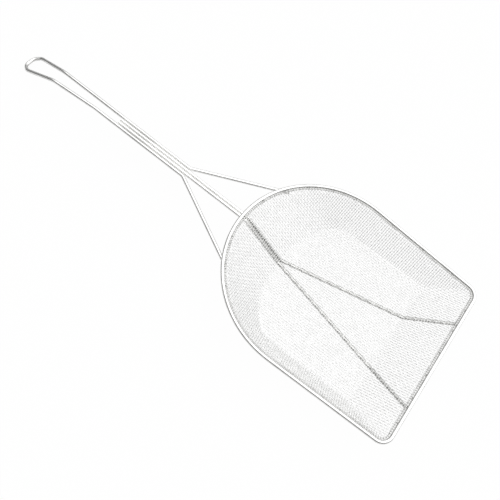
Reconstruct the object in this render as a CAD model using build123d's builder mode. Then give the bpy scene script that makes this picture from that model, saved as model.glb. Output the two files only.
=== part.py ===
from build123d import *
from math import asin, atan2, cos, degrees, radians, sin, sqrt, tan
import os

os.makedirs("parts", exist_ok=True)

# Flat-ended wire skimmer. +X runs from the handle to the straight front edge and +Z is up.
# The origin is below the middle of the whole length, on the surface that it stands on.

# Overall sizes, in millimetres, and the angle by which each side draws in towards the front
overall_length = 600.0
head_length = 273.0
head_width = 234.5
corner_radius = 13.5
side_taper = 2.3

# Wire diameters
rim_rod = 4.5
handle_rod = 4.2
binding_rod = 1.2
cloth_wire = 0.55

# Clearances between wires that lie together
rod_gap = 0.2
crossing_gap = 0.1
hem_gap = 0.1
cloth_gap = 0.15
weld_gap = 0.1

# Pressed bowl: depths of the cloth's underside below the middle of the rim
floor_back_depth = 36.6
floor_front_depth = 27.5
floor_back_reach = 204.6
floor_front_reach = 51.5
floor_curve_length = 46.0
floor_back_width = 172.0
floor_front_width = 174.0
floor_corner_radius = 8.0
cloth_height = 1.3

# Plain grid of openings that stands for the cloth's fine meshes
openings_along = 12
openings_across = 10
opening_rib = 3.0
opening_border = 5.0
smallest_opening = 60.0

# Handle and its hanging loop; the drops are angles below the level, outwards
handle_drop = 1.35
loop_neck_drop = 5.3
loop_tip_drop = 21.0
splay_reach = 351.7
butt_share = 0.756
loop_neck_length = 63.0
loop_tip_length = 49.5
flare_spread = 2.3
loop_spread = 5.8
loop_corner_length = 8.0
loop_end_width = 13.0
splay_bend = 8.0
spread_bend = 60.0
flare_bend = 25.0
loop_side_bend = 7.0
loop_end_bend = 8.5

# Legs and support rods under the bowl
leg_crossing_width = 115.8
leg_overrun = 8.0
neck_bend = 8.0
floor_bend = 4.5
support_floor_width = 76.0
support_end_width = 119.0

# Welds
bundle_weld_length = 5.0
bundle_weld_height = 1.0
bundle_weld_rise = 1.4
bundle_weld_count = 3
crossing_weld_width = 3.4
end_weld_radius = 1.6
end_weld_length = 5.0
tack_radius = 0.9
tack_drop = 1.2
tack_length = 2.5
tacks_per_run = 3

# Plan of the rim, with reaches measured back from its straight front edge
half_width = (head_width - rim_rod) / 2
front_x = (overall_length - rim_rod) / 2
back_centre_x = front_x - (head_length - rim_rod - half_width)
apex_x = back_centre_x - half_width
tip_x = (handle_rod - overall_length) / 2
splay_x = front_x - splay_reach
flare_x = tip_x + loop_tip_length
spread_x = flare_x + loop_neck_length
butt_x = splay_x - (splay_x - spread_x) * butt_share

# Side places of the four rods in the handle
rod_pitch = handle_rod + rod_gap
inner_y = rod_pitch / 2
outer_y = inner_y + rod_pitch

# Folded edge of the cloth, a sleeve round the binding wire inside the rim
hem_inner = binding_rod / 2 + hem_gap
hem_outer = hem_inner + cloth_wire
hem_inset = rim_rod / 2 + hem_gap + hem_outer

# Mouth of the bowl, just below that edge
rod_drop = (rim_rod + handle_rod) / 2 + crossing_gap
mouth_depth = hem_outer + hem_gap
mouth_y = half_width - hem_inset
mouth_back_x = back_centre_x - mouth_y
mouth_front_x = front_x - hem_inset
floor_back_x = front_x - floor_back_reach
floor_front_x = front_x - floor_front_reach

# Slopes of the cloth along the middle of the bowl, in degrees, rising towards +X
wall_slope = degrees(atan2(mouth_depth - floor_back_depth, floor_back_x - mouth_back_x))
floor_slope = degrees(atan2(floor_back_depth - floor_front_depth, floor_front_x - floor_back_x))
ramp_slope = degrees(atan2(floor_front_depth - mouth_depth, mouth_front_x - floor_front_x))


def below(x, z, slope, distance):
    """Point squarely below a line of that slope through (x, z)."""
    return x + distance * sin(radians(slope)), z - distance * cos(radians(slope))


def meet(first, first_slope, second, second_slope):
    """Point where two sloping lines cross."""
    rise = tan(radians(first_slope))
    other = tan(radians(second_slope))
    x = (second[1] - first[1] + rise * first[0] - other * second[0]) / (rise - other)
    return x, first[1] + rise * (x - first[0])


def drawn_in(side_y, run):
    """Half width of tapering sides at that run in front of the round back."""
    return (side_y - run * sin(radians(side_taper))) / cos(radians(side_taper))


def handle_z(x):
    """Height of the handle's rods from the middle of the rim."""
    return -rod_drop - (apex_x - x) * tan(radians(handle_drop))


# Corners of the support rods, which run along the underside of the cloth
under_cloth = handle_rod / 2 + cloth_gap
wall_point = below(floor_back_x, -floor_back_depth, wall_slope, under_cloth)
floor_point = below(floor_back_x, -floor_back_depth, floor_slope, under_cloth)
ramp_point = below(floor_front_x, -floor_front_depth, ramp_slope, under_cloth)
neck = meet((apex_x, -rod_drop), handle_drop, wall_point, wall_slope)
fork = meet(wall_point, wall_slope, floor_point, floor_slope)
knee = meet(floor_point, floor_slope, ramp_point, ramp_slope)

# Their ends stop against the lower inside of the rim's front rod
end_side_run = (support_end_width - support_floor_width) / 2
end_splay = atan2(end_side_run, front_x - knee[0])
end_stop = rim_rod / 2 + crossing_gap + sin(end_splay) * handle_rod / 2
ramp_cos = cos(radians(ramp_slope))
ramp_sin = sin(radians(ramp_slope))
ramp_run = (front_x - ramp_point[0]) * ramp_cos - ramp_point[1] * ramp_sin - end_stop
end_x = ramp_point[0] + ramp_run * ramp_cos
end_z = ramp_point[1] + ramp_run * ramp_sin


def support_line(side, rim_z):
    """Centre line of one support rod, from its butt end in the handle to the front edge."""
    corners = [
        (butt_x, side * inner_y, rim_z + handle_z(butt_x)),
        (neck[0], side * inner_y, rim_z + neck[1]),
        (fork[0], side * inner_y, rim_z + fork[1]),
        (knee[0], side * support_floor_width / 2, rim_z + knee[1]),
        (end_x, side * support_end_width / 2, rim_z + end_z),
    ]
    return FilletPolyline(*corners, radius=(neck_bend, floor_bend, floor_bend))


# The rim's height puts the lowest point of the support rods on the ground
rim_z = handle_rod / 2 - support_line(1, 0).bounding_box().min.Z

# Corners of the handle's loop on the +Y side, from the leg's end to the far end of the loop
crossing_y = leg_crossing_width / 2
crossing_x = back_centre_x - sqrt(half_width**2 - crossing_y**2)
leg_crossing = Vector(crossing_x, crossing_y, rim_z - rod_drop)
splay_point = Vector(splay_x, outer_y, rim_z + handle_z(splay_x))
leg_direction = (leg_crossing - splay_point).normalized()
leg_end = leg_crossing + leg_direction * leg_overrun
spread_point = Vector(spread_x, outer_y, rim_z + handle_z(spread_x))
flare_z = spread_point.Z - (spread_x - flare_x) * tan(radians(loop_neck_drop))
flare_point = Vector(flare_x, outer_y + flare_spread, flare_z)
loop_side_x = tip_x + loop_corner_length


def loop_z(x):
    """Height of the loop's bent-down end."""
    return flare_z - (flare_x - x) * tan(radians(loop_tip_drop))


loop_side = Vector(loop_side_x, outer_y + loop_spread, loop_z(loop_side_x))
loop_end = Vector(tip_x, loop_end_width / 2, loop_z(tip_x))
loop_half = [leg_end, splay_point, spread_point, flare_point, loop_side, loop_end]
loop_corners = loop_half + [Vector(p.X, -p.Y, p.Z) for p in reversed(loop_half)]
half_bends = [splay_bend, spread_bend, flare_bend, loop_side_bend, loop_end_bend]
loop_path = FilletPolyline(*loop_corners, radius=half_bends + half_bends[::-1])


def rim_line(inset):
    """Closed centre line like the rim's, moved inwards by the inset."""
    side_y = half_width - inset
    bend = corner_radius - inset
    bend_x = front_x - corner_radius
    bend_y = drawn_in(half_width - corner_radius, bend_x - back_centre_x)
    along, across = sin(radians(side_taper)), cos(radians(side_taper))
    with BuildLine(Plane.XY.offset(rim_z)) as line:
        for side in (1, -1):
            Line((bend_x + bend, 0), (bend_x + bend, side * bend_y))
            CenterArc((bend_x, side * bend_y), bend, 0, side * (90 - side_taper))
            Line(
                (bend_x + bend * along, side * (bend_y + bend * across)),
                (back_centre_x + side_y * along, side * side_y * across),
            )
            CenterArc((back_centre_x, 0), side_y, side * (90 - side_taper), side * (90 + side_taper))
    return line.wire()


def section(path):
    """Plane squarely across the start of a path."""
    return Plane(path @ 0, z_dir=path % 0)


def round_rod(path, radius):
    """Solid rod along a path."""
    with BuildPart() as rod:
        with BuildSketch(section(path)):
            Circle(radius)
        sweep(path=path)
    return rod.part


def tray_face(plane, nose_x, nose_y, side_y, curve_x, curve_length, bend):
    """Face with a straight front, two sides and a half oval at the back."""
    with BuildSketch(plane) as tray:
        with BuildLine():
            Polyline((curve_x, side_y), (nose_x, nose_y), (nose_x, -nose_y), (curve_x, -side_y))
            EllipticalCenterArc((curve_x, 0), curve_length, side_y, start_angle=90, arc_size=180)
        make_face()
        fillet(tray.vertices().group_by(Axis.X)[-1], bend)
    return tray.sketch


rim_path = rim_line(0)
hem_path = rim_line(hem_inset)
left_path = support_line(1, rim_z)
right_path = support_line(-1, rim_z)

# Outer rod of the rim
with BuildPart() as rim_ring:
    with BuildSketch(section(rim_path)):
        Circle(rim_rod / 2)
    sweep(path=rim_path)

# Binding wire inside the folded edge of the cloth
with BuildPart() as binding_wire:
    with BuildSketch(section(hem_path)):
        Circle(binding_rod / 2)
    sweep(path=hem_path)

# Folded edge of the cloth
with BuildPart() as mesh_hem:
    with BuildSketch(section(hem_path)):
        Circle(hem_outer)
        Circle(hem_inner, mode=Mode.SUBTRACT)
    sweep(path=hem_path)

# Pressed wire cloth, as a skin with the cloth's own outer shape
mouth_face = tray_face(
    Plane.XY.offset(rim_z - mouth_depth),
    mouth_front_x,
    drawn_in(mouth_y, mouth_front_x - back_centre_x),
    mouth_y,
    back_centre_x,
    mouth_y,
    corner_radius - hem_inset,
)
floor_face = tray_face(
    Plane((floor_back_x, 0, rim_z - floor_back_depth)).rotated((0, -floor_slope, 0)),
    (floor_front_x - floor_back_x) / cos(radians(floor_slope)),
    floor_front_width / 2,
    floor_back_width / 2,
    floor_curve_length,
    floor_curve_length,
    floor_corner_radius,
)

with BuildPart() as bowl_block:
    add([mouth_face, floor_face])
    loft(ruled=True)

# Openings through it, kept clear of its edge
open_length = (mouth_front_x - mouth_back_x) / openings_along
open_width = 2 * mouth_y / openings_across
open_front_x = mouth_front_x - opening_border
open_side_y = mouth_y - opening_border
open_area = tray_face(
    Plane.XY,
    open_front_x,
    drawn_in(open_side_y, open_front_x - back_centre_x),
    open_side_y,
    back_centre_x,
    open_side_y,
    corner_radius - hem_inset - opening_border,
)

with BuildSketch() as openings:
    with Locations(((mouth_front_x + mouth_back_x) / 2, 0)):
        with GridLocations(open_length, open_width, openings_along, openings_across):
            Rectangle(open_length - opening_rib, open_width - opening_rib)
    add(open_area, mode=Mode.INTERSECT)

kept_openings = openings.faces().filter_by(lambda face: face.area > smallest_opening)

with BuildPart() as mesh_bowl:
    add(bowl_block.part)
    add(bowl_block.part.moved(Location((0, 0, cloth_height))), mode=Mode.SUBTRACT)
    extrude(kept_openings, amount=rim_z, dir=(0, 0, 1), mode=Mode.SUBTRACT)

# Two bent rods that carry the bowl
with BuildPart() as support_rod_left:
    with BuildSketch(section(left_path)):
        Circle(handle_rod / 2)
    sweep(path=left_path)

with BuildPart() as support_rod_right:
    with BuildSketch(section(right_path)):
        Circle(handle_rod / 2)
    sweep(path=right_path)

# Hanging loop, outer rods of the handle and splayed legs, all one bent rod
with BuildPart() as handle_loop:
    with BuildSketch(section(loop_path)):
        Circle(handle_rod / 2)
    sweep(path=loop_path)

# Room that the welds leave round the wires they join, and how high they reach at a crossing
weld_room = handle_rod / 2 + weld_gap
crossing_weld_height = rod_drop - rim_rod / 4
rim_turn = asin(crossing_y / half_width)
support_rooms = [round_rod(left_path, weld_room), round_rod(right_path, weld_room)]
loop_room = round_rod(loop_path, weld_room)
rim_room = round_rod(rim_path, rim_rod / 2 + weld_gap)
hem_room = round_rod(hem_path, hem_outer + weld_gap)

# Welds in the grooves below the four rods that lie side by side in the handle
first_station = butt_x + bundle_weld_length
last_station = splay_x - bundle_weld_length
station_step = (last_station - first_station) / (bundle_weld_count - 1)

with BuildPart() as bundle_welds:
    for station in range(bundle_weld_count):
        x = first_station + station * station_step
        centre = Plane((x, 0, rim_z + handle_z(x)), x_dir=(0, 1, 0), z_dir=(1, 0, 0))
        with BuildSketch(centre.rotated((-handle_drop, 0, 0))):
            with Locations((0, -bundle_weld_rise)):
                Rectangle(2 * outer_y, bundle_weld_height)
        extrude(amount=bundle_weld_length / 2, both=True)
    add(support_rooms + [loop_room], mode=Mode.SUBTRACT)

# Welds where the support rods pass under the rim at the back
with BuildPart() as apex_welds:
    with BuildSketch(Plane.XY.offset(rim_z - rod_drop)):
        with Locations((apex_x, inner_y), (apex_x, -inner_y)):
            Rectangle(crossing_weld_width, crossing_weld_width)
    extrude(amount=crossing_weld_height)
    add(support_rooms + [rim_room], mode=Mode.SUBTRACT)

# Welds where the two legs pass under the rim
with BuildPart() as leg_welds:
    for side in (1, -1):
        weld_foot = (crossing_x, side * crossing_y, rim_z - rod_drop)
        with BuildSketch(Plane(weld_foot, x_dir=(-cos(rim_turn), side * sin(rim_turn), 0))):
            Rectangle(crossing_weld_width, crossing_weld_width)
    extrude(amount=crossing_weld_height)
    add([loop_room, rim_room], mode=Mode.SUBTRACT)

# Beads that hold the ends of the support rods to the front edge
with BuildPart() as end_welds:
    for side in (1, -1):
        end_y = side * support_end_width / 2
        with BuildSketch(Plane((front_x, end_y, rim_z - rim_rod / 2), x_dir=(1, 0, 0), z_dir=(0, 1, 0))):
            Circle(end_weld_radius)
        extrude(amount=end_weld_length / 2, both=True)
    add(support_rooms + [rim_room], mode=Mode.SUBTRACT)

# Small tack welds between the rim and the folded edge of the cloth, on all runs but the two corner bends
tack_runs = rim_line((rim_rod + hem_gap) / 2).edges().sort_by(SortBy.LENGTH)[2:]

with BuildPart() as hem_tacks:
    for run in tack_runs:
        for tack in range(tacks_per_run):
            share = (2 * tack + 1) / (2 * tacks_per_run)
            place = run @ share - Vector(0, 0, tack_drop)
            with BuildSketch(Plane(place, z_dir=run % share)):
                Circle(tack_radius)
            extrude(amount=tack_length / 2, both=True)
    add([rim_room, hem_room], mode=Mode.SUBTRACT)

rim_ring.part.label = "rim_ring"
binding_wire.part.label = "binding_wire"
mesh_hem.part.label = "mesh_hem"
mesh_bowl.part.label = "mesh_bowl"
support_rod_left.part.label = "support_rod_left"
support_rod_right.part.label = "support_rod_right"
handle_loop.part.label = "handle_loop"
bundle_welds.part.label = "bundle_welds"
apex_welds.part.label = "apex_welds"
leg_welds.part.label = "leg_welds"
end_welds.part.label = "end_welds"
hem_tacks.part.label = "hem_tacks"

export_step(rim_ring.part, "parts/rim_ring.step")
export_step(binding_wire.part, "parts/binding_wire.step")
export_step(mesh_hem.part, "parts/mesh_hem.step")
export_step(mesh_bowl.part, "parts/mesh_bowl.step")
export_step(support_rod_left.part, "parts/support_rod_left.step")
export_step(support_rod_right.part, "parts/support_rod_right.step")
export_step(handle_loop.part, "parts/handle_loop.step")
export_step(bundle_welds.part, "parts/bundle_welds.step")
export_step(apex_welds.part, "parts/apex_welds.step")
export_step(leg_welds.part, "parts/leg_welds.step")
export_step(end_welds.part, "parts/end_welds.step")
export_step(hem_tacks.part, "parts/hem_tacks.step")
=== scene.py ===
import math

import bpy
import numpy as np
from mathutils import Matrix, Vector
from mathutils.bvhtree import BVHTree


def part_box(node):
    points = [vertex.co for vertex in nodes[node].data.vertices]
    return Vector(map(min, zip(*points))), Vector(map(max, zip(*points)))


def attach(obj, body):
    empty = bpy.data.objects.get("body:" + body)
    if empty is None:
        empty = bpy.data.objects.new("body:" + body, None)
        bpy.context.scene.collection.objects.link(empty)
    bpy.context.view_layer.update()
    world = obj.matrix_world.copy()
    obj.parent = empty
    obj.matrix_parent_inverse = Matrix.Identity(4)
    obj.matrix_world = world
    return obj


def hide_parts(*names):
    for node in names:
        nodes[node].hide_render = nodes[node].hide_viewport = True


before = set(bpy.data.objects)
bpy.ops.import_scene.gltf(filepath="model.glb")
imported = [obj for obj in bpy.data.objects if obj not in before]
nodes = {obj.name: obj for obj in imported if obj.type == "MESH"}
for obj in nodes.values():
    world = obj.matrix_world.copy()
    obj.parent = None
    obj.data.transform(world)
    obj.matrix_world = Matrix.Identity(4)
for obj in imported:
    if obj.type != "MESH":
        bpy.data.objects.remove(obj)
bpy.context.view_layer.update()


# Rods: the rim, the hanging loop with its two legs, and the two rods under the bowl. Round
# steel wire, drawn, bent and then bright plated, with faint draw marks and uneven plating.
# The two support rods have painted light, a paler plating in the handle, and painted shade, darker
# where they lie under the bowl.
def add_socket(group, name, direction, kind, default=None):
    socket = group.interface.new_socket(name=name, in_out=direction, socket_type="NodeSocket" + kind)
    if default is not None:
        socket.default_value = default
    return socket


def plating_group():
    """Colour, roughness and relief of bright plating over drawn wire, with painted shade past a given
    x.
    """
    group = bpy.data.node_groups.new("bright_plating", "ShaderNodeTree")
    add_socket(group, "Bright", "INPUT", "Color", (0.8, 0.8, 0.8, 1))
    add_socket(group, "Dull", "INPUT", "Color", (0.6, 0.6, 0.6, 1))
    add_socket(group, "Patch Scale", "INPUT", "Float", 60)
    add_socket(group, "Grain Scale", "INPUT", "Float", 2500)
    add_socket(group, "Smooth Roughness", "INPUT", "Float", 0.15)
    add_socket(group, "Worn Roughness", "INPUT", "Float", 0.3)
    add_socket(group, "Stained", "INPUT", "Color", (0.5, 0.5, 0.5, 1))
    add_socket(group, "Stained From", "INPUT", "Float", 1)
    add_socket(group, "Base Color", "OUTPUT", "Color")
    add_socket(group, "Roughness", "OUTPUT", "Float")
    add_socket(group, "Relief", "OUTPUT", "Float")
    new, link = group.nodes.new, group.links.new
    inputs, outputs = new("NodeGroupInput"), new("NodeGroupOutput")
    place = new("ShaderNodeTexCoord")
    patches = new("ShaderNodeTexNoise")
    patches.inputs["Detail"].default_value = 4
    patches.inputs["Roughness"].default_value = 0.6
    grain = new("ShaderNodeTexNoise")
    grain.inputs["Detail"].default_value = 2
    spread = new("ShaderNodeMapRange")
    spread.inputs["From Min"].default_value = 0.35
    spread.inputs["From Max"].default_value = 0.7
    tone = new("ShaderNodeMix")
    tone.data_type = "RGBA"
    dullness = new("ShaderNodeMix")
    along = new("ShaderNodeSeparateXYZ")
    beyond = new("ShaderNodeMath")
    beyond.operation = "SUBTRACT"
    # Painted shade: past the given x the colour fades to the shaded one over 20 mm.
    painted_shade_fade = new("ShaderNodeMapRange")
    painted_shade_fade.inputs["From Max"].default_value = 0.02
    painted_shade_mix = new("ShaderNodeMix")
    painted_shade_mix.data_type = "RGBA"
    mixed = new("ShaderNodeMath")
    mixed.operation = "MULTIPLY_ADD"
    mixed.inputs[1].default_value = 0.25
    link(place.outputs["Object"], patches.inputs["Vector"])
    link(place.outputs["Object"], grain.inputs["Vector"])
    link(inputs.outputs["Patch Scale"], patches.inputs["Scale"])
    link(inputs.outputs["Grain Scale"], grain.inputs["Scale"])
    link(patches.outputs["Fac"], spread.inputs["Value"])
    link(spread.outputs["Result"], mixed.inputs[2])
    link(grain.outputs["Fac"], mixed.inputs[0])
    link(mixed.outputs["Value"], tone.inputs["Factor"])
    link(inputs.outputs["Bright"], tone.inputs["A"])
    link(inputs.outputs["Dull"], tone.inputs["B"])
    link(mixed.outputs["Value"], dullness.inputs["Factor"])
    link(inputs.outputs["Smooth Roughness"], dullness.inputs["A"])
    link(inputs.outputs["Worn Roughness"], dullness.inputs["B"])
    link(place.outputs["Object"], along.inputs["Vector"])
    link(along.outputs["X"], beyond.inputs[0])
    link(inputs.outputs["Stained From"], beyond.inputs[1])
    link(beyond.outputs["Value"], painted_shade_fade.inputs["Value"])
    link(painted_shade_fade.outputs["Result"], painted_shade_mix.inputs["Factor"])
    link(tone.outputs["Result"], painted_shade_mix.inputs["A"])
    link(inputs.outputs["Stained"], painted_shade_mix.inputs["B"])
    link(painted_shade_mix.outputs["Result"], outputs.inputs["Base Color"])
    link(dullness.outputs["Result"], outputs.inputs["Roughness"])
    link(grain.outputs["Fac"], outputs.inputs["Relief"])
    return group


plating = plating_group()


def metal(name, bright, dull, patch_scale, smooth, worn, relief):
    """Metal finish made from the plating group with its own values."""
    material = bpy.data.materials.new(name)
    material.use_nodes = True
    tree = material.node_tree
    shader = tree.nodes["Principled BSDF"]
    shader.inputs["Metallic"].default_value = 1
    finish = tree.nodes.new("ShaderNodeGroup")
    finish.name = "finish"
    finish.node_tree = plating
    finish.inputs["Bright"].default_value = (*bright, 1)
    finish.inputs["Dull"].default_value = (*dull, 1)
    finish.inputs["Patch Scale"].default_value = patch_scale
    finish.inputs["Smooth Roughness"].default_value = smooth
    finish.inputs["Worn Roughness"].default_value = worn
    bump = tree.nodes.new("ShaderNodeBump")
    bump.inputs["Strength"].default_value = relief
    bump.inputs["Distance"].default_value = 0.00005
    tree.links.new(finish.outputs["Base Color"], shader.inputs["Base Color"])
    tree.links.new(finish.outputs["Roughness"], shader.inputs["Roughness"])
    tree.links.new(finish.outputs["Relief"], bump.inputs["Height"])
    tree.links.new(bump.outputs["Normal"], shader.inputs["Normal"])
    return material


rod_metal = metal(
    "plated_rod",
    bright=(0.84, 0.84, 0.83),
    dull=(0.66, 0.66, 0.65),
    patch_scale=45,
    smooth=0.14,
    worn=0.30,
    relief=0.25,
)
# Painted light: the support rods get a paler plating than the other rods, lifting the dim gaps
# between the bundled handle rods.
lit_and_shaded_rod_metal = metal(
    "dipped_rod",
    bright=(0.90, 0.90, 0.89),
    dull=(0.76, 0.76, 0.75),
    patch_scale=45,
    smooth=0.14,
    worn=0.30,
    relief=0.25,
)
# Painted shade: from x = 30 mm on, where they lie under the bowl, the support rods turn darker.
shaded_rod_finish = lit_and_shaded_rod_metal.node_tree.nodes["finish"]
shaded_rod_finish.inputs["Stained"].default_value = (0.56, 0.56, 0.55, 1)
shaded_rod_finish.inputs["Stained From"].default_value = 0.03

for name in ("rim_ring", "handle_loop", "support_rod_left", "support_rod_right"):
    rod = nodes[name]
    rod.data.materials.clear()
    rod.data.materials.append(lit_and_shaded_rod_metal if name.startswith("support") else rod_metal)


# Wire cloth: plain-woven steel wire, pressed to the bowl's shape and ending at the folded edge.
# Its meshes are pulled towards their own length, which draws it in from the edge and shears it
# at the corners. They stay a few percent too long, and up to a fifth on the side walls.
millimetre = 0.001
cloth_pitch = 2.82 * millimetre
cloth_wire = 0.55 * millimetre
skin_height = 1.3 * millimetre
mouth_corner_radius = 9.9 * millimetre
side_taper = math.radians(2.3)
floor_back_depth = 36.6 * millimetre
floor_front_depth = 27.5 * millimetre
floor_back_reach = 204.6 * millimetre
floor_front_reach = 51.5 * millimetre
floor_curve_length = 46 * millimetre
floor_back_width = 172 * millimetre
floor_front_width = 174 * millimetre
floor_corner_radius = 8 * millimetre
spare_cloth = 30 * millimetre
relaxing_passes = 400

rim_low, rim_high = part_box("rim_ring")
rim_z = (rim_low.z + rim_high.z) / 2
front_x = rim_high.x - (rim_high.z - rim_low.z) / 2
bowl_low, bowl_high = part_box("mesh_bowl")
mouth_y = bowl_high.y
mouth_front_x = bowl_high.x
mouth_centre_x = bowl_low.x + mouth_y
mouth_z = bowl_high.z - cloth_wire / 2


def drawn_in(side_y, run):
    """Half width of the tapering sides at that run in front of the round back."""
    return (side_y - run * math.sin(side_taper)) / math.cos(side_taper)


def beyond_mouth(x, y):
    """Distance outside the mouth's outline, negative inside it."""
    along, across = math.sin(side_taper), math.cos(side_taper)
    run, y = x - mouth_centre_x, np.abs(y)
    bend_x = mouth_front_x - mouth_corner_radius
    bend_y = drawn_in(mouth_y - mouth_corner_radius, bend_x - mouth_centre_x)
    round_back = np.hypot(run, y) - mouth_y
    corner = np.hypot(x - bend_x, y - bend_y) - mouth_corner_radius
    edges = np.maximum(run * along + y * across - mouth_y, x - mouth_front_x)
    in_corner = (y > bend_y) & ((x - bend_x) * across > (y - bend_y) * along)
    front = np.where(in_corner, corner, edges)
    return np.where(run * across < y * along, round_back, front)


def half_outline(nose_x, nose_y, side_y, curve_x, curve_length, bend):
    """Points round one half of a tray's outline, from the middle of its front to its back."""
    nose_points, bend_points, side_points, curve_points = 12, 13, 25, 49
    side_lean = math.atan2(side_y - nose_y, nose_x - curve_x)
    turn = math.pi / 2 - side_lean
    tangent = bend * math.tan(turn / 2)
    points = [(nose_x, y) for y in np.linspace(0, nose_y - tangent, nose_points)]
    centre_x, centre_y = nose_x - bend, nose_y - tangent
    for angle in np.linspace(0, turn, bend_points)[1:]:
        points.append((centre_x + bend * math.cos(angle), centre_y + bend * math.sin(angle)))
    last_x, last_y = points[-1]
    for share in np.linspace(0, 1, side_points)[1:]:
        points.append((last_x + share * (curve_x - last_x), last_y + share * (side_y - last_y)))
    for angle in np.linspace(math.pi / 2, math.pi, curve_points)[1:]:
        points.append((curve_x + curve_length * math.cos(angle), side_y * math.sin(angle)))
    return points


def pressed_surface(step):
    """Heights of the middle of the cloth on a square table, level outside the mouth."""
    floor_back_x = front_x - floor_back_reach
    floor_run = floor_back_reach - floor_front_reach
    floor_slope = math.atan2(floor_back_depth - floor_front_depth, floor_run)
    nose_y = drawn_in(mouth_y, mouth_front_x - mouth_centre_x)
    mouth = half_outline(mouth_front_x, nose_y, mouth_y, mouth_centre_x, mouth_y, mouth_corner_radius)
    floor = half_outline(
        floor_run / math.cos(floor_slope),
        floor_front_width / 2,
        floor_back_width / 2,
        floor_curve_length,
        floor_curve_length,
        floor_corner_radius,
    )
    lift = skin_height / 2 - floor_back_depth + rim_z
    cut_off_z = bowl_high.z + skin_height / 2
    points, faces = [], []
    for side in (1, -1):
        start = len(points)
        for (top_x, top_y), (x, y) in zip(mouth, floor):
            low_x = floor_back_x + x * math.cos(floor_slope)
            points.append((top_x, side * top_y, cut_off_z))
            points.append((low_x, side * y, lift + x * math.sin(floor_slope)))
            points.append((low_x, 0, lift + x * math.sin(floor_slope)))
        for k in range(start, len(points) - 3, 3):
            faces.append((k, k + 3, k + 4, k + 1))
            faces.append((k + 1, k + 4, k + 5, k + 2))
    tree = BVHTree.FromPolygons(points, faces)
    xs = np.arange(bowl_low.x - spare_cloth, bowl_high.x + spare_cloth, step)
    ys = np.arange(bowl_low.y - spare_cloth, bowl_high.y + spare_cloth + step, step)
    heights = np.full((len(xs), len(ys)), mouth_z)
    for i, x in enumerate(xs):
        for j, y in enumerate(ys):
            hit = tree.ray_cast(Vector((x, y, 1)), Vector((0, 0, -1)))[0]
            if hit is not None:
                heights[i, j] = min(hit.z, mouth_z)
    padded = np.pad(heights, 1, mode="edge")
    rows = (padded[:-2] + 2 * padded[1:-1] + padded[2:]) / 4
    return xs, ys, (rows[:, :-2] + 2 * rows[:, 1:-1] + rows[:, 2:]) / 4


def drape(passes):
    """Woven net laid on the pressed surface, its meshes pulled towards the pitch's length."""
    step = 1.4 * millimetre
    stride = 1.8
    just_inside = 1.001
    xs, ys, heights = pressed_surface(step)

    def height_at(x, y):
        fx = np.clip((x - xs[0]) / step, 0, len(xs) - just_inside)
        fy = np.clip((y - ys[0]) / step, 0, len(ys) - just_inside)
        i, j = fx.astype(int), fy.astype(int)
        a, b = fx - i, fy - j
        near = heights[i, j] * (1 - b) + heights[i, j + 1] * b
        far = heights[i + 1, j] * (1 - b) + heights[i + 1, j + 1] * b
        return near * (1 - a) + far * a

    across = math.ceil((mouth_y + spare_cloth) / cloth_pitch)
    along = math.ceil((mouth_front_x - bowl_low.x + 2 * spare_cloth) / cloth_pitch / 2)
    middle_x = (mouth_front_x + bowl_low.x) / 2
    warp_y = (np.arange(-across, across) + 0.5) * cloth_pitch
    weft_x = middle_x + (np.arange(-along, along) + 0.5) * cloth_pitch
    net = np.zeros((len(weft_x), len(warp_y), 3))
    net[..., 0], net[..., 1] = np.meshgrid(weft_x, warp_y, indexing="ij")
    for _ in range(passes):
        net[..., 2] = height_at(net[..., 0], net[..., 1])
        pull = np.zeros_like(net)
        count = np.zeros(net.shape[:2])
        for axis in (0, 1):
            first = net[:-1] if axis == 0 else net[:, :-1]
            second = net[1:] if axis == 0 else net[:, 1:]
            run = second - first
            length = np.linalg.norm(run, axis=2, keepdims=True)
            shift = run * (length - cloth_pitch) / length / 2
            if axis == 0:
                pull[:-1] += shift
                pull[1:] -= shift
                count[:-1] += 1
                count[1:] += 1
            else:
                pull[:, :-1] += shift
                pull[:, 1:] -= shift
                count[:, :-1] += 1
                count[:, 1:] += 1
        net += stride * pull / count[..., None]
    net[..., 2] = height_at(net[..., 0], net[..., 1])
    return net


def wire_lines(net, along_axis):
    """Mesh of one set of wires, cut off at the mouth, with the cloth's normal at each point."""
    du = np.gradient(net, axis=0)
    dv = np.gradient(net, axis=1)
    normals = np.cross(du, dv)
    normals /= np.linalg.norm(normals, axis=2, keepdims=True)
    i, j = np.indices(net.shape[:2])
    over = np.where((i + j) % 2 == 0, 1.0, -1.0)
    if along_axis == 1:
        net, normals, over = np.swapaxes(net, 0, 1), np.swapaxes(normals, 0, 1), -over.T
    outside = beyond_mouth(net[..., 0], net[..., 1])
    points, directions, sides, edges, ends = [], [], [], [], []
    for line in range(net.shape[1]):
        inside = np.flatnonzero(outside[:, line] < 0)
        if len(inside) < 2:
            continue
        first, last = inside[0], inside[-1]
        start = len(points)
        for a, b in ((first, first - 1), (last, last + 1)):
            share = outside[a, line] / (outside[a, line] - outside[b, line])
            ends.append((
                net[a, line] + share * (net[b, line] - net[a, line]),
                normals[a, line],
                over[a, line] * (1 - 2 * share),
            ))
        run = [ends[-2]]
        run += [(net[k, line], normals[k, line], over[k, line]) for k in range(first, last + 1)]
        run.append(ends[-1])
        for point, normal, side in run:
            points.append(tuple(point))
            directions.append(tuple(normal))
            sides.append(side)
        edges += [(k, k + 1) for k in range(start, len(points) - 1)]
    mesh = bpy.data.meshes.new("wire_lines")
    mesh.from_pydata(points, edges, [])
    normal_data = mesh.attributes.new("cloth_normal", "FLOAT_VECTOR", "POINT").data
    normal_data.foreach_set("vector", np.array(directions).ravel())
    side_data = mesh.attributes.new("over", "FLOAT", "POINT").data
    side_data.foreach_set("value", np.array(sides))
    return mesh, [end[0] for end in ends]


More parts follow.
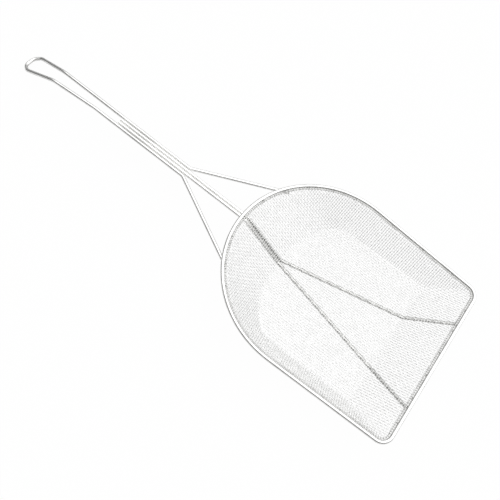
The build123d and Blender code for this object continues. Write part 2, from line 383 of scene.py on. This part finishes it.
def tree_start(name, inputs):
    """Geometry tree with a mesh input, named size inputs and a mesh output."""
    tree = bpy.data.node_groups.new(name, "GeometryNodeTree")
    add_socket(tree, "Geometry", "INPUT", "Geometry")
    for socket_name, kind in inputs:
        add_socket(tree, socket_name, "INPUT", kind)
    add_socket(tree, "Geometry", "OUTPUT", "Geometry")
    return tree, tree.nodes.new("NodeGroupInput"), tree.nodes.new("NodeGroupOutput")


def attribute_node(tree, name, kind):
    """Output that reads a named attribute of the mesh."""
    node = tree.nodes.new("GeometryNodeInputNamedAttribute")
    node.data_type = kind
    node.inputs["Name"].default_value = name
    return node.outputs["Attribute"]


def tree_end(tree, source, inputs, outputs):
    """Smooth shading, then real mesh with its material."""
    smooth = tree.nodes.new("GeometryNodeSetShadeSmooth")
    real = tree.nodes.new("GeometryNodeRealizeInstances")
    finish = tree.nodes.new("GeometryNodeSetMaterial")
    tree.links.new(source, smooth.inputs["Geometry"])
    tree.links.new(smooth.outputs["Geometry"], real.inputs["Geometry"])
    tree.links.new(real.outputs["Geometry"], finish.inputs["Geometry"])
    tree.links.new(inputs.outputs["Material"], finish.inputs["Material"])
    tree.links.new(finish.outputs["Geometry"], outputs.inputs["Geometry"])


def woven_wire_tree():
    """Wires along the net's lines, each passing over and under the ones that it crosses."""
    tree, inputs, outputs = tree_start("woven_wire", [
        ("Wire Diameter", "Float"), ("Crimp", "Float"), ("Sides", "Int"), ("Material", "Material"),
    ])
    new, link = tree.nodes.new, tree.links.new
    line = new("GeometryNodeMeshToCurve")
    halves = new("GeometryNodeSubdivideCurve")
    halves.inputs["Cuts"].default_value = 1
    height = new("ShaderNodeMath")
    height.operation = "MULTIPLY"
    offset = new("ShaderNodeVectorMath")
    offset.operation = "SCALE"
    crimp = new("GeometryNodeSetPosition")
    radius = new("ShaderNodeMath")
    radius.operation = "DIVIDE"
    radius.inputs[1].default_value = 2
    profile = new("GeometryNodeCurvePrimitiveCircle")
    wire = new("GeometryNodeCurveToMesh")
    wire.inputs["Fill Caps"].default_value = True
    link(inputs.outputs["Geometry"], line.inputs["Mesh"])
    link(line.outputs["Curve"], halves.inputs["Curve"])
    link(attribute_node(tree, "over", "FLOAT"), height.inputs[0])
    link(inputs.outputs["Crimp"], height.inputs[1])
    link(attribute_node(tree, "cloth_normal", "FLOAT_VECTOR"), offset.inputs[0])
    link(height.outputs["Value"], offset.inputs["Scale"])
    link(halves.outputs["Curve"], crimp.inputs["Geometry"])
    link(offset.outputs["Vector"], crimp.inputs["Offset"])
    link(inputs.outputs["Wire Diameter"], radius.inputs[0])
    link(radius.outputs["Value"], profile.inputs["Radius"])
    link(inputs.outputs["Sides"], profile.inputs["Resolution"])
    link(crimp.outputs["Geometry"], wire.inputs["Curve"])
    link(profile.outputs["Curve"], wire.inputs["Profile Curve"])
    tree_end(tree, wire.outputs["Mesh"], inputs, outputs)
    return tree


def grow(name, mesh, tree, **values):
    """Piece that the tree makes from a mesh, as a plain mesh."""
    source = bpy.data.objects.new(name + "_source", mesh)
    bpy.context.scene.collection.objects.link(source)
    modifier = source.modifiers.new("grow", "NODES")
    modifier.node_group = tree
    for item in tree.interface.items_tree:
        key = item.name.lower().replace(" ", "_")
        if item.in_out == "INPUT" and key in values:
            modifier[item.identifier] = values[key]
    evaluated = source.evaluated_get(bpy.context.evaluated_depsgraph_get())
    plain = bpy.data.meshes.new_from_object(evaluated)
    bpy.data.objects.remove(source)
    piece = bpy.data.objects.new(name, plain)
    bpy.context.scene.collection.objects.link(piece)
    return piece


cloth_metal = metal(
    "woven_wire",
    bright=(0.88, 0.88, 0.87),
    dull=(0.74, 0.74, 0.73),
    patch_scale=120,
    smooth=0.16,
    worn=0.28,
    relief=0.1,
)
cloth_net = drape(relaxing_passes)
weave = woven_wire_tree()
wire_ends = []

for name, axis in (("cloth_warp", 0), ("cloth_weft", 1)):
    lines, line_ends = wire_lines(cloth_net, axis)
    wire_ends += line_ends
    wires = grow(
        name,
        lines,
        weave,
        wire_diameter=cloth_wire,
        crimp=cloth_wire / 2,
        sides=5,
        material=cloth_metal,
    )
    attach(wires, "root")
    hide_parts("mesh_bowl")


# Folded edge: the cloth's edge is bent round the binding wire inside the rim and pressed tight.
# Every wire of the cloth ends in a hook round that wire, set square to the edge.
hem_low, hem_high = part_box("mesh_hem")
binding_low, binding_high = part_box("binding_wire")
hook_gap = 0.1 * millimetre
hem_z = (hem_low.z + hem_high.z) / 2
hook_radius = (binding_high.z - binding_low.z + cloth_wire) / 2 + hook_gap


def hem_tangent(x, y):
    """Direction along the folded edge, level, at points on the mouth's outline."""
    reach = 0.1 * millimetre
    slope_x = beyond_mouth(x + reach, y) - beyond_mouth(x - reach, y)
    slope_y = beyond_mouth(x, y + reach) - beyond_mouth(x, y - reach)
    length = np.hypot(slope_x, slope_y)
    return -slope_y / length, slope_x / length


def hook_points(ends):
    """Loose points on the hem's middle line, one for each wire end."""
    ends = np.array(ends)
    tangent_x, tangent_y = hem_tangent(ends[:, 0], ends[:, 1])
    mesh = bpy.data.meshes.new("hook_points")
    mesh.from_pydata([(x, y, hem_z) for x, y, _ in ends], [], [])
    along = np.stack([tangent_x, tangent_y, np.zeros(len(ends))], 1)
    mesh.attributes.new("along", "FLOAT_VECTOR", "POINT").data.foreach_set("vector", along.ravel())
    return mesh


def hem_hook_tree():
    """One hook of wire round the binding wire at each point, square to the edge."""
    tree, inputs, outputs = tree_start("hem_hooks", [
        ("Wire Diameter", "Float"), ("Hook Radius", "Float"), ("Material", "Material"),
    ])
    new, link = tree.nodes.new, tree.links.new
    arc = new("GeometryNodeCurveArc")
    arc.inputs["Resolution"].default_value = 12
    arc.inputs["Start Angle"].default_value = math.radians(-70)
    arc.inputs["Sweep Angle"].default_value = math.radians(320)
    turn = new("FunctionNodeAxesToRotation")
    turn.primary_axis = "Z"
    turn.secondary_axis = "Y"
    turn.inputs["Secondary Axis"].default_value = (0, 0, 1)
    copies = new("GeometryNodeInstanceOnPoints")
    real = new("GeometryNodeRealizeInstances")
    radius = new("ShaderNodeMath")
    radius.operation = "DIVIDE"
    radius.inputs[1].default_value = 2
    profile = new("GeometryNodeCurvePrimitiveCircle")
    profile.inputs["Resolution"].default_value = 6
    wire = new("GeometryNodeCurveToMesh")
    wire.inputs["Fill Caps"].default_value = True
    link(inputs.outputs["Hook Radius"], arc.inputs["Radius"])
    link(attribute_node(tree, "along", "FLOAT_VECTOR"), turn.inputs["Primary Axis"])
    link(inputs.outputs["Geometry"], copies.inputs["Points"])
    link(arc.outputs["Curve"], copies.inputs["Instance"])
    link(turn.outputs["Rotation"], copies.inputs["Rotation"])
    link(copies.outputs["Instances"], real.inputs["Geometry"])
    link(inputs.outputs["Wire Diameter"], radius.inputs[0])
    link(radius.outputs["Value"], profile.inputs["Radius"])
    link(real.outputs["Geometry"], wire.inputs["Curve"])
    link(profile.outputs["Curve"], wire.inputs["Profile Curve"])
    tree_end(tree, wire.outputs["Mesh"], inputs, outputs)
    return tree


# Painted shade: the binding wire is darker than the rods and stands for the dark gaps between the
# hooks. It is also rougher.
shaded_binding_metal = metal(
    "binding_wire",
    bright=(0.60, 0.60, 0.59),
    dull=(0.46, 0.46, 0.45),
    patch_scale=90,
    smooth=0.25,
    worn=0.45,
    relief=0.2,
)
nodes["binding_wire"].data.materials.clear()
nodes["binding_wire"].data.materials.append(shaded_binding_metal)

hem_hooks = grow(
    "hem_hooks",
    hook_points(wire_ends),
    hem_hook_tree(),
    wire_diameter=cloth_wire,
    hook_radius=hook_radius,
    material=cloth_metal,
)
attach(hem_hooks, "root")
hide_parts("mesh_hem")


# Welds: small beads of the rods' own metal where they cross and lie together.
# Resistance welding squeezes them out, and they are plated over with the rest.
weld_metal = metal(
    "plated_weld",
    bright=(0.86, 0.86, 0.85),
    dull=(0.66, 0.66, 0.65),
    patch_scale=300,
    smooth=0.24,
    worn=0.42,
    relief=0.8,
)

for name in ("bundle_welds", "apex_welds", "leg_welds", "end_welds", "hem_tacks"):
    weld = nodes[name]
    weld.data.materials.clear()
    weld.data.materials.append(weld_metal)


# Studio: a white table, lit by a world that is bright overhead, with a smaller soft window low
# beyond the front corner. The camera sees both as white. The metal sees only a small share of
# that white, so the rods keep the dim sides as thin grey lines.
def background_rays(tree, camera_share, mirror_share):
    """How much of the plain white each ray sees: one share for the camera, one for metal."""
    path = tree.nodes.new("ShaderNodeLightPath")
    mirrors = tree.nodes.new("ShaderNodeMath")
    mirrors.operation = "ADD"
    tree.links.new(path.outputs["Is Glossy Ray"], mirrors.inputs[0])
    tree.links.new(path.outputs["Is Transmission Ray"], mirrors.inputs[1])
    in_mirrors = tree.nodes.new("ShaderNodeMath")
    in_mirrors.operation = "MULTIPLY"
    in_mirrors.inputs[1].default_value = mirror_share
    tree.links.new(mirrors.outputs["Value"], in_mirrors.inputs[0])
    seen = tree.nodes.new("ShaderNodeMath")
    seen.operation = "MULTIPLY_ADD"
    seen.inputs[1].default_value = camera_share
    tree.links.new(path.outputs["Is Camera Ray"], seen.inputs[0])
    tree.links.new(in_mirrors.outputs["Value"], seen.inputs[2])
    return seen.outputs["Value"]


def white_table():
    """Flat square under the object, white but for a very faint shadow."""
    size = 6
    corners = [(-size, -size, 0), (size, -size, 0), (size, size, 0), (-size, size, 0)]
    mesh = bpy.data.meshes.new("table")
    mesh.from_pydata(corners, [], [(0, 1, 2, 3)])
    table = bpy.data.objects.new("table", mesh)
    material = bpy.data.materials.new("white_table")
    material.use_nodes = True
    tree = material.node_tree
    shader = tree.nodes["Principled BSDF"]
    shader.inputs["Base Color"].default_value = (0.65, 0.65, 0.65, 1)
    shader.inputs["Roughness"].default_value = 1
    shader.inputs["Specular IOR Level"].default_value = 0
    white = tree.nodes.new("ShaderNodeEmission")
    mixed = tree.nodes.new("ShaderNodeMixShader")
    tree.links.new(background_rays(tree, camera_share=0.97, mirror_share=0.2), mixed.inputs["Fac"])
    tree.links.new(shader.outputs["BSDF"], mixed.inputs[1])
    tree.links.new(white.outputs["Emission"], mixed.inputs[2])
    tree.links.new(mixed.outputs["Shader"], tree.nodes["Material Output"].inputs["Surface"])
    table.data.materials.append(material)
    bpy.context.scene.collection.objects.link(table)


def studio_world():
    """Light by direction: bright overhead, dim at the sides, and a soft window low in front."""
    world = bpy.data.worlds.new("studio")
    bpy.context.scene.world = world
    world.use_nodes = True
    tree = world.node_tree
    background = tree.nodes["Background"]
    place = tree.nodes.new("ShaderNodeTexCoord")
    towards = tree.nodes.new("ShaderNodeVectorMath")
    towards.operation = "DOT_PRODUCT"
    towards.inputs[1].default_value = Vector((0.03, 0.3, 1)).normalized()
    shades = tree.nodes.new("ShaderNodeValToRGB")
    ramp = shades.color_ramp
    ramp.interpolation = "EASE"
    ramp.elements[0].position = 0.0
    ramp.elements[0].color = (0.08, 0.08, 0.08, 1)
    ramp.elements[1].position = 0.85
    ramp.elements[1].color = (2.0, 2.0, 2.0, 1)
    for position, level in ((0.35, 0.3), (0.6, 1.0)):
        stop = ramp.elements.new(position)
        stop.color = (level, level, level, 1)
    tree.links.new(place.outputs["Generated"], towards.inputs[0])
    tree.links.new(towards.outputs["Value"], shades.inputs["Fac"])
    window = tree.nodes.new("ShaderNodeVectorMath")
    window.operation = "DOT_PRODUCT"
    window.inputs[1].default_value = Vector((0.7, 0.5, 0.45)).normalized()
    window_edge = tree.nodes.new("ShaderNodeMapRange")
    window_edge.interpolation_type = "SMOOTHSTEP"
    window_edge.inputs["From Min"].default_value = 0.8
    window_edge.inputs["From Max"].default_value = 0.95
    window_edge.inputs["To Max"].default_value = 0.8
    level = tree.nodes.new("ShaderNodeMath")
    tree.links.new(place.outputs["Generated"], window.inputs[0])
    tree.links.new(window.outputs["Value"], window_edge.inputs["Value"])
    tree.links.new(shades.outputs["Color"], level.inputs[0])
    tree.links.new(window_edge.outputs["Result"], level.inputs[1])
    tree.links.new(level.outputs["Value"], background.inputs["Color"])
    white = tree.nodes.new("ShaderNodeBackground")
    white.inputs["Color"].default_value = (1, 1, 1, 1)
    mixed = tree.nodes.new("ShaderNodeMixShader")
    tree.links.new(background_rays(tree, camera_share=1, mirror_share=0.03), mixed.inputs["Fac"])
    tree.links.new(background.outputs["Background"], mixed.inputs[1])
    tree.links.new(white.outputs["Background"], mixed.inputs[2])
    tree.links.new(mixed.outputs["Shader"], tree.nodes["World Output"].inputs["Surface"])


white_table()
studio_world()


# Camera at the photograph's place: high over the near side and the bowl, turned so that the
# handle runs to the upper left.
def photo_camera():
    eye = Vector((0.1135, -0.3091, 0.6400))
    aim = Vector((0.0611, -0.0301, 0.0409))
    roll = math.radians(28.8)
    data = bpy.data.cameras.new("camera")
    data.sensor_width = 36
    data.lens = 43.2
    camera = bpy.data.objects.new("camera", data)
    turn = (aim - eye).to_track_quat("-Z", "Y").to_matrix().to_4x4()
    camera.matrix_world = turn
    camera.location = eye
    camera.rotation_euler.rotate_axis("Z", roll)
    bpy.context.scene.collection.objects.link(camera)
    bpy.context.scene.camera = camera


photo_camera()
bpy.context.scene.view_settings.view_transform = "Standard"
